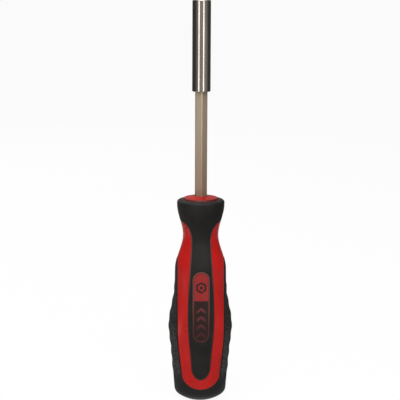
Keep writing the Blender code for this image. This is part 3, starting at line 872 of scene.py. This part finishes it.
def red_band_shape():
    """The red band as a strip from the tongue's edge to the lower grip's edge: rows join both edges, from the
    top of the arch down to the middle of the bow, on one quarter of the handle, mirrored to the others."""
    split = 0.0840
    upper = joined(arch(quarter_turn(200)), long_side(TONGUE_STATIONS, np.linspace(ARCH_FOOT, split, 30)))
    middle = long_side(TONGUE_STATIONS, np.linspace(split, TONGUE_TURN[0], 120))
    outer_upper = (np.full(40, np.pi / 2.0), np.linspace(ARCH_TOP, SIDE_TIP, 40))
    outer_middle = joined(
        long_side(BAND_STATIONS, tip_heights(SIDE_CLOSING, 80)[::-1]),
        long_side(BAND_STATIONS, np.linspace(SIDE_CLOSING, BAND_TURN[0], 120)),
    )
    arch_rows = 44
    side_rows = 80
    angle = quarter_turn(40)
    bow = lower_bow(TONGUE_TURN, TONGUE_END, angle)
    outer_bow = lower_bow(BAND_TURN, BAND_END, angle)
    inner_turn, inner_height = joined(evenly(upper, arch_rows), evenly(middle, side_rows), bow)
    outer_turn, outer_height = joined(
        evenly(outer_upper, arch_rows), evenly(outer_middle, side_rows), outer_bow
    )
    gap = skin(inner_turn, inner_height, 0.0) - skin(outer_turn, outer_height, 0.0)
    place = across(9, 0.5 * np.linalg.norm(gap, axis=-1), BAND_ROLL) * 0.5 + 0.5
    turn = inner_turn[:, None] * (1.0 - place) + outer_turn[:, None] * place
    height = inner_height[:, None] * (1.0 - place) + outer_height[:, None] * place
    inner_rim, (rows, last) = sides(turn)
    rims = [inner_rim, (rows[arch_rows - 1 :], last)]
    points = skin(turn, height, 0.0)
    distance = np.minimum(edge_distance(points, TONGUE_EDGE), edge_distance(points, BAND_EDGE))
    outer = skin(turn, height, -BAND_RECESS - rolled(distance, BAND_ROLL))
    inner = skin(turn, height, -BAND_RECESS - MOULD_DEPTH)
    quarter = Shape().slab(outer, inner, rims, distance)
    return quarter.mirrored((-1.0, 1.0, 1.0), (1.0, -1.0, 1.0), (-1.0, -1.0, 1.0))


def hex_columns():
    """Turns round the hex bar, close together at its six rounded corners."""
    reach = corner_reach(HEX_APOTHEM, HEX_CORNER)
    corner = np.linspace(-reach, reach, 7)
    flat = np.linspace(reach, math.pi / 3.0 - reach, 8)[1:-1]
    sixths = np.arange(6)[:, None] * math.pi / 3.0
    return (sixths + np.concatenate((corner, flat)) + HEX_TURN).ravel()


def corner_reach(apothem, corner_radius):
    """Half the turn that a rounded corner takes up, seen from the axis."""
    middle = (apothem - corner_radius) / math.cos(math.pi / 6.0)
    return math.atan2(0.5 * corner_radius, middle + corner_radius * math.cos(math.pi / 6.0))


def hex_radius(turn, apothem, corner_radius):
    """Radius of a rounded hexagon: apothem / cos on its flats, and on a corner the far side of a small
    circle, c cos(t) + sqrt(r^2 - c^2 sin(t)^2), where t is the turn from the corner."""
    t = (turn - HEX_TURN + math.pi / 6.0) % (math.pi / 3.0) - math.pi / 6.0
    middle = (apothem - corner_radius) / math.cos(math.pi / 6.0)
    flat = apothem / np.cos(math.pi / 6.0 - np.abs(t))
    inside = np.maximum(corner_radius**2 - (middle * np.sin(t)) ** 2, 0.0)
    corner = middle * np.cos(t) + np.sqrt(inside)
    return np.where(np.abs(t) < corner_reach(apothem, corner_radius), corner, flat)


def bar_radius(turn, play, eared):
    """Radius of the shaft, or of its bore with some play: the hexagon, and where it is eared, the wider of
    that and a flat bar across it."""
    bar = hex_radius(turn, HEX_APOTHEM + play, HEX_CORNER)
    t = turn - HEX_TURN
    across_bar = np.abs(np.sin(t)) + 1e-9
    along_bar = np.abs(np.cos(t)) + 1e-9
    flat = np.minimum((EAR_HALF_SPAN + play) / across_bar, (EAR_HALF_THICKNESS + play) / along_bar)
    return np.where(eared, np.maximum(bar, flat), bar)


def bar_rings(turn, rows, play):
    """Rings of the shaft or of its bore, from rows of (height, size, eared)."""
    height, size, eared = np.array(rows).T[..., None]
    return ring(turn, size * bar_radius(turn, play, eared > 0.0), height)


def shaft_shape():
    """Hex shaft: a rounded hexagon carried up the axis, with the ears in their range and eased ends."""
    ears = np.radians((90.0, 270.0))[:, None] + HEX_TURN
    ear_edge = np.radians((16.0, 17.5, 19.0))
    turn = np.sort(np.concatenate((hex_columns(), (ears - ear_edge).ravel(), (ears + ear_edge).ravel())))
    ease = 0.0003
    plain = np.linspace(EAR_TOP, SHAFT_TOP - ease, 40)
    rows = [(SHAFT_FOOT, 0.0, False), (SHAFT_FOOT, 0.9, False), (SHAFT_FOOT + ease, 1.0, False)]
    rows += [(EAR_FOOT, 1.0, False), (EAR_FOOT, 1.0, True), (EAR_TOP, 1.0, True)]
    rows += [(z, 1.0, False) for z in plain]
    rows += [(SHAFT_TOP, 0.92, False), (SHAFT_TOP, 0.0, False)]
    return Shape().sheet(bar_rings(turn, rows, 0.0), wrap=True)


def core_shape():
    """Core: from the bottom of its bore up the hex wall, over the crowned nose with its rounded rim, down the
    outside under the mouldings to its lower end. Each row is a ring of radius r(turn)."""
    turn = hex_columns()
    angle = quarter_turn(9)[:, None]
    bore = [(SHAFT_FOOT - PLAY, 0.0, False), (SHAFT_FOOT - PLAY, 1.0, False), (EAR_FOOT - PLAY, 1.0, False)]
    bore += [(EAR_FOOT - PLAY, 1.0, True), (EAR_TOP + PLAY, 1.0, True), (EAR_TOP + PLAY, 1.0, False)]
    bore += [(NOSE_TOP, 1.0, False)]
    mouth = 0.00025
    rim = 0.0014
    peak = NOSE_TOP + 0.0006
    low = NOSE_TOP - 0.00015
    fall = low - COLLAR_TOP
    hole = bar_radius(turn, PLAY, False)
    edge = hole + mouth * (1.0 - np.cos(angle))
    crown = np.linspace(0.0, 1.0, 9)[1:-1, None]
    wide = NOSE_RADIUS - rim
    rise = np.linspace(1.0, 0.0, 7)[:, None]
    neck = WAIST_RADIUS - GRIP_WALL
    below_neck = 0.002
    end_ease = 0.0015
    body_height = np.linspace(WAIST_HEIGHT - below_neck, SHOULDER_HEIGHT + end_ease, 30)[:, None]
    end = SHOULDER_HALF_WIDTH - GRIP_WALL - end_ease
    throat = neck + (NOSE_RADIUS - neck) * eased(rise, 0.0, 1.0)
    rows = [
        bar_rings(turn, bore, PLAY),
        ring(turn, edge, peak - mouth * (1.0 - np.sin(angle))),
        ring(turn, edge[-1] + (wide - edge[-1]) * crown, peak + (low - peak) * crown),
        ring(turn, wide + rim * np.sin(angle), low - fall * (1.0 - np.cos(angle))),
        ring(turn, throat, WAIST_HEIGHT + (COLLAR_HEIGHT - WAIST_HEIGHT) * rise),
        skin(turn, body_height, -GRIP_WALL),
        ring(turn, np.array([[end], [0.0]]), CORE_END, FLATNESS),
    ]
    points = np.concatenate(rows)
    # Painted shade: no edge distance on the nose's foot and round the bore, so the red darkens there
    nose_shade_top = COLLAR_TOP + 0.00072
    above = np.maximum(points[..., 2] - nose_shade_top, 0.0) * 1.5
    beside = np.hypot(points[..., 0], points[..., 1]) - hole
    return Shape().sheet(points, wrap=True, wear=np.minimum(above, np.maximum(beside, 0.0) * 0.8))


def core_with_band():
    """The core's two shells, the body with its nose and the band that stands up from it, as one piece."""
    return core_shape().take(red_band_shape())


def capsule_rows(half, high, count):
    """Half widths and heights of a capsule's rows up to a height: a round end, then straight sides."""
    angle = quarter_turn(25)[::-1]
    bottom = BADGE_HEIGHT - BADGE_STRAIGHT
    height = bottom - half * np.sin(angle)
    width = half * np.cos(angle)
    straight = np.linspace(bottom, high, count)[1:]
    return np.concatenate((width, np.full(len(straight), half))), np.concatenate((height, straight))


def badge_wall(width, height, marks, lift_of, depth):
    """A slab over rows of the badge: x = place times the row's half width, on the front of the handle, with
    columns at the marks, which are distances in from the row's ends."""
    width = width[:, None]
    end = 1.0 - np.minimum(np.array(marks) / np.maximum(width, NO_WIDTH), 0.6)
    x = both_ways(9, end) * width
    level = np.broadcast_to(height[:, None], x.shape)
    turn = np.arcsin(np.clip(x / half_width(level), -1.0, 1.0))
    lift, inside = lift_of(skin(turn, level, 0.0))
    rims = sides(x) + [(row, np.arange(x.shape[1])) for row in (0, len(x) - 1)]
    return Shape().slab(skin(turn, level, lift), skin(turn, level, -depth), rims, inside)


def badge_plate_shape():
    """Badge plate: a capsule with a rounded rim round a lower field, and a pocket for the dark panel."""
    round_edge = 0.00018
    pocket_depth = 0.0003
    pocket_edge = PANEL_TOP - np.array((0.0003, 0.0001))
    half_widths, heights = capsule_rows(BADGE_HALF_WIDTH, BADGE_HEIGHT, 26)
    mirrored_heights = 2.0 * BADGE_HEIGHT - heights[-2::-1]
    width = np.concatenate((half_widths, half_widths[-2::-1], np.full(2, BADGE_HALF_WIDTH)))
    height = np.concatenate((heights, mirrored_heights, pocket_edge))
    order = np.argsort(height, kind="stable")

    def lift_of(points):
        inside = badge_inside(points)
        rim = BADGE_RISE - rolled(inside, round_edge)
        step = eased(inside, BADGE_RIM - 0.00008, BADGE_RIM + 0.00014)
        pocket = eased(inside, BADGE_RIM + 0.0002, BADGE_RIM + 0.0004)
        pocket = pocket * eased(PANEL_TOP - points[..., 2], 0.0001, 0.0003)
        return rim + (BADGE_FIELD - BADGE_RISE) * step - pocket_depth * pocket, np.maximum(inside, 0.0)

    field_marks = (0.0013, 0.0011, 0.0009)
    step_marks = (0.00084, 0.00076, 0.00069, 0.00062)
    edge_marks = (0.0004, 0.00018, 0.00009, 0.00003, 0.0)
    marks = field_marks + step_marks + edge_marks
    return badge_wall(width[order], height[order], marks, lift_of, BADGE_DEPTH)


def badge_panel_shape():
    """Dark panel of the badge: the lower part of the capsule inside the rim, cut straight at its top."""
    inset = BADGE_RIM + PANEL_PLAY
    round_edge = 0.00008
    depth = 0.0002
    top = PANEL_TOP - PLAY
    top_rows = top - np.array((0.00015, 0.00007, 0.00002, 0.0))
    half_widths, heights = capsule_rows(BADGE_HALF_WIDTH - inset, PANEL_TOP - 0.0003, 30)
    width = np.concatenate((half_widths, np.full(len(top_rows), half_widths[-1])))
    height = np.concatenate((heights, top_rows))

    def lift_of(points):
        inside = np.minimum(badge_inside(points) - inset, top - points[..., 2])
        return BADGE_FIELD + PANEL_RISE - rolled(inside, round_edge), np.maximum(inside, 0.0)

    marks = (0.0003, 0.00015, 0.00008, 0.00004, 0.00001, 0.0)
    return badge_wall(width, height, marks, lift_of, depth)


def eased_corners(radius, foot, top, ease, count):
    """Lower and upper corner of a round bar, eased in a quarter circle, as (radii, heights): R - e (1 - sin)
    and foot + e (1 - cos) below, R - e (1 - cos) and top - e (1 - sin) above."""
    angle = quarter_turn(count)
    by_sine = ease * (1.0 - np.sin(angle))
    by_cosine = ease * (1.0 - np.cos(angle))
    return np.stack((radius - by_sine, foot + by_cosine)), np.stack((radius - by_cosine, top - by_sine))


def sleeve_shape():
    """Bit sleeve: one closed profile carried round the axis. Outside it is round with eased ends; inside, the
    radius is the larger of the mouth's cone or the ring's groove and the hexagon."""
    turn = np.arange(144) * (2.0 * math.pi / 144.0) + HEX_TURN
    socket_corner = 0.0001
    ease = 0.0004
    mouth_lip = 0.00008
    mouth_depth = 0.0012
    groove_half = RING_WIRE / 2.0 + 0.0001
    groove_radius = RING_RADIUS + groove_half
    foot, top = eased_corners(SLEEVE_RADIUS, SLEEVE_FOOT, TIP, ease, 8)
    wall = np.linspace(SLEEVE_FOOT + ease, TIP - ease, 32)[1:-1]
    outside = np.concatenate((foot, np.stack((np.full_like(wall, SLEEVE_RADIUS), wall)), top), 1)
    depth = np.linspace(0.0, mouth_depth, 25)
    lower = (
        (0.0, RING_HEIGHT + groove_half),
        (groove_radius, RING_HEIGHT + groove_half),
        (groove_radius, RING_HEIGHT - groove_half),
        (0.0, RING_HEIGHT - groove_half),
        (0.0, SLEEVE_FOOT + 0.0003),
        (0.0035, SLEEVE_FOOT + 0.0002),
        (0.0038, SLEEVE_FOOT),
    )
    cone = np.stack((MOUTH_RADIUS - depth, TIP - depth))
    inside = np.concatenate(([[MOUTH_RADIUS + mouth_lip], [TIP]], cone, np.array(lower).T), 1)
    bore = np.maximum(inside[0][:, None], hex_radius(turn, HEX_APOTHEM + PLAY, socket_corner))
    points = np.concatenate((ring(turn, *outside[..., None]), ring(turn, bore, inside[1][:, None])))
    return Shape().sheet(points, wrap=True, ends_meet=True)


def magnet_shape():
    """Magnet: a round pin with eased edges and a faint dish in its end."""
    turn = np.linspace(0.0, 2.0 * np.pi, 96, endpoint=False)
    ease = 0.0003
    dish_depth = 0.00004
    foot, top = eased_corners(MAGNET_RADIUS, MAGNET_FOOT, MAGNET_TOP, ease, 7)
    face = np.linspace(0.0, MAGNET_RADIUS - ease, 7)[:-1]
    lower = np.stack((face, np.full_like(face, MAGNET_FOOT)))
    upper = np.stack((face, MAGNET_TOP - dish_depth * (1.0 - (face / MAGNET_RADIUS) ** 2)))
    radius, height = np.concatenate((lower, foot, top, upper[:, ::-1]), 1)[..., None]
    return Shape().sheet(ring(turn, radius, height), wrap=True)


def retaining_ring_shape():
    """Retaining ring: a round wire carried along an open level circle, its ends rounded as half balls."""
    half = RING_WIRE / 2.0
    cap = quarter_turn(6)
    end = RING_MOUTH / 2.0 + half / RING_RADIUS * (1.0 - np.cos(cap))
    middle = np.linspace(end[-1], 2.0 * np.pi - end[-1], 74)[1:-1]
    along = np.concatenate((end, middle, 2.0 * np.pi - end[::-1]))
    size = np.concatenate((np.sin(cap), np.ones_like(middle), np.sin(cap[::-1])))[:, None] * half
    round_wire = np.linspace(0.0, 2.0 * np.pi, 20, endpoint=False)
    radius = RING_RADIUS + size * np.cos(round_wire)
    height = RING_HEIGHT + size * np.sin(round_wire)
    return Shape().sheet(ring(along[:, None] + np.pi / 2.0, radius, height), wrap=True)


# Each node with the shape and the finish that take its place
PIECES = (
    ("collar_grip", collar_shape, soft_black),
    ("handle_core", core_with_band, red_plastic),
    ("lower_grip", lower_grip_shape, grained_black),
    ("badge_plate", badge_plate_shape, plate_print),
    ("badge_panel", badge_panel_shape, panel_print),
    ("shaft", shaft_shape, satin_nickel),
    ("bit_sleeve", sleeve_shape, polished_steel),
    ("bit_magnet", magnet_shape, plated_magnet),
    ("retaining_ring", retaining_ring_shape, spring_wire),
)
for node, shape, finish in PIECES:
    piece(node, shape(), finish())


def stage_sheet(name, points, finish):
    """A sheet of the studio, which is no part of the tool."""
    quads = grid_quads(*points.shape[:2], False, False)
    mesh = bpy.data.meshes.new(name)
    mesh.from_pydata(points.reshape(-1, 3).tolist(), [], quads.tolist())
    mesh.materials.append(finish.material)
    thing = placed(name, mesh)
    return thing


def pale_floor():
    """Pale floor under the tool, white to the camera but for the tool's soft shadow."""
    finish = Finish("pale_floor", Base_Color=colour(FLOOR_PALE), Roughness=0.9)
    finish.show_white(Wire(finish, finish.shader.outputs[0]), "ShaderNodeEmission", 0.94)
    side = np.linspace(-12.0, 12.0, 3)
    x, y = np.meshgrid(side, side)
    stage_sheet("studio_floor", np.stack((x, y, 0.0 * x), -1), finish)


def studio_world():
    """Even soft light from all round, seen as white by the camera."""
    world = bpy.data.worlds.new("studio")
    world.use_nodes = True
    plain = world.node_tree.nodes["Background"]
    plain.inputs["Color"].default_value = colour(WHITE)
    plain.inputs["Strength"].default_value = 0.28
    nodes = Nodes(world.node_tree, "World Output")
    nodes.show_white(Wire(nodes, plain.outputs[0]), "ShaderNodeBackground", 1.0)
    bpy.context.scene.world = world


def card_finish(name):
    """Finish of a card of the studio: black, for a glow to be added."""
    return Finish(name, Base_Color=colour(BLACK), Specular_IOR_Level=0.0, Emission_Strength=GLOW_MOST)


def mirrored_card(points, finish, glow):
    """A card of the studio that only mirror rays see, with a warm glow of a given strength."""
    finish.feed("Emission Color", finish.tint(glow / GLOW_MOST, BLACK, WARM_WHITE))
    card = stage_sheet(finish.slot, points, finish)
    for ray in ("camera", "diffuse", "shadow", "transmission", "volume_scatter"):
        setattr(card, "visible_" + ray, False)


def surround_card():
    """A tall round card about the tool that shows only in its reflections: grey in front, dark at the sides,
    lighter behind and most of all high up there. Its glow is made of smooth steps of the turn and height."""
    card = card_finish("surround_card")
    turn = card.turn()
    front = abs(turn - 4.0).ease(35.0, 95.0, 0.30, 0.05)
    back = abs(turn + 6.0).ease(130.0, 172.0) * card.axis("Z").ease(195.0, 240.0, 0.10, 0.26)
    turns = np.radians(np.linspace(-180.0, 180.0, 61))
    mirrored_card(ring(turns, 0.70, np.array([[0.001], [1.10]])), card, front + back)


def floor_card():
    """A flat ring on the floor round the tool that shows only in its reflections: dark in front and at the
    sides, paler behind, with a pale patch close by on the left."""
    card = card_finish("floor_card")
    x = card.axis("X")
    y = card.axis("Y")
    turn = card.turn()
    reach = (x * x + y * y) ** 0.5
    behind = abs(turn - 8.0).ease(115.0, 150.0, 0.0, 0.4)
    patch = abs(turn + 76.0).ease(4.0, 12.0, 1.0, 0.0)
    patch = patch * reach.ease(100.0, 150.0) * reach.ease(190.0, 300.0, 1.0, 0.0)
    glow = card.noise(3.0) * 0.06 + 0.12 + behind + patch * 2.8
    turns = np.radians(np.linspace(-180.0, 180.0, 49))
    mirrored_card(ring(turns, np.array([[0.03], [0.72]]), 0.0005), card, glow)


def lamp(name, azimuth, elevation, distance, width, height, power):
    """A flat soft lamp at a turn from the front, aimed at the tool's middle."""
    aim = np.array((0.0, 0.0, 0.10))
    data = bpy.data.lights.new(name, "AREA")
    data.shape = "RECTANGLE"
    data.size = width
    data.size_y = height
    data.energy = power
    a = math.radians(azimuth)
    e = math.radians(elevation)
    back = np.array((math.sin(a) * math.cos(e), -math.cos(a) * math.cos(e), math.sin(e)))
    upright = Matrix.Rotation(a, 4, "Z") @ Matrix.Rotation(math.radians(90.0) - e, 4, "X")
    placed(name, data).matrix_world = Matrix.Translation(aim + back * distance) @ upright


def camera():
    """Camera at the photo's angle: a little above the tip, 66 cm in front, looking down at the tool."""
    data = bpy.data.cameras.new("camera")
    data.lens = 109.69
    data.sensor_width = 36.0
    data.clip_start = 0.01
    data.clip_end = 100.0
    thing = placed("camera", data)
    turn = Matrix.Rotation(math.radians(-1.964), 4, "Z") @ Matrix.Rotation(math.radians(79.49), 4, "X")
    roll = Matrix.Rotation(math.radians(0.27), 4, "Z")
    thing.matrix_world = Matrix.Translation((-0.0231, -0.6606, 0.2361)) @ turn @ roll
    bpy.context.scene.camera = thing


camera()
pale_floor()
studio_world()
surround_card()
floor_card()
lamp("strip_left", -34.0, 6.0, 0.55, 0.11, 0.30, 0.22)
lamp("strip_right", 25.0, 6.0, 0.55, 0.11, 0.30, 0.22)
lamp("top_softbox", 0.0, 62.0, 0.95, 0.80, 0.80, 6.5)
lamp("front_fill", 0.0, 40.0, 1.20, 0.80, 0.60, 4.0)
lamp("back_fill", -140.0, 35.0, 1.20, 0.80, 0.60, 6.0)

bpy.context.scene.view_settings.view_transform = "Standard"
